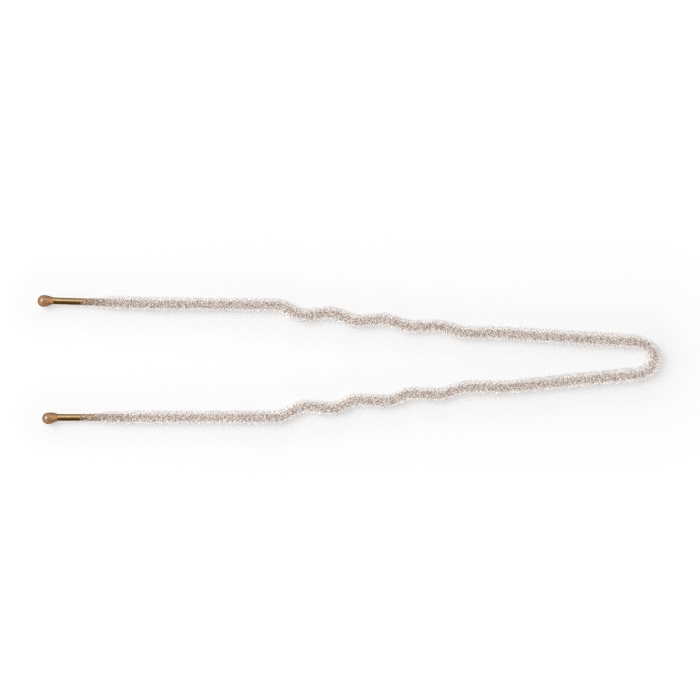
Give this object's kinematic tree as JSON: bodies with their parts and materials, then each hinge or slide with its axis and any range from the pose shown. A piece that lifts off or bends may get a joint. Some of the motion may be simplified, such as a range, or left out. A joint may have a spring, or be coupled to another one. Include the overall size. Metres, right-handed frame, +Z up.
{
  "type": "french hair pin",
  "caption": "U-shaped crimped wire hair pin with a soft flocked coat and smooth ball tips, pushed into a bun or twist to hold it.",
  "frame": {"origin": "under the middle of the outline, on the surface that the pin lies on", "axes": "+X along the pin from the ball tips to the bent head, +Y across it towards the longer prong, +Z up from the surface"},
  "size_m": [0.075, 0.0156, 0.0015],
  "materials": {
    "brass_wire": "drawn wire, softly polished",
    "flock": "short greige flock, velvety",
    "resin_tip": "glossy brown dipped resin"
  },
  "bodies": {
    "root": {"wire": "brass_wire", "flock_coat": "flock", "tip_upper": "resin_tip", "tip_lower": "resin_tip"}
  },
  "joints": []
}
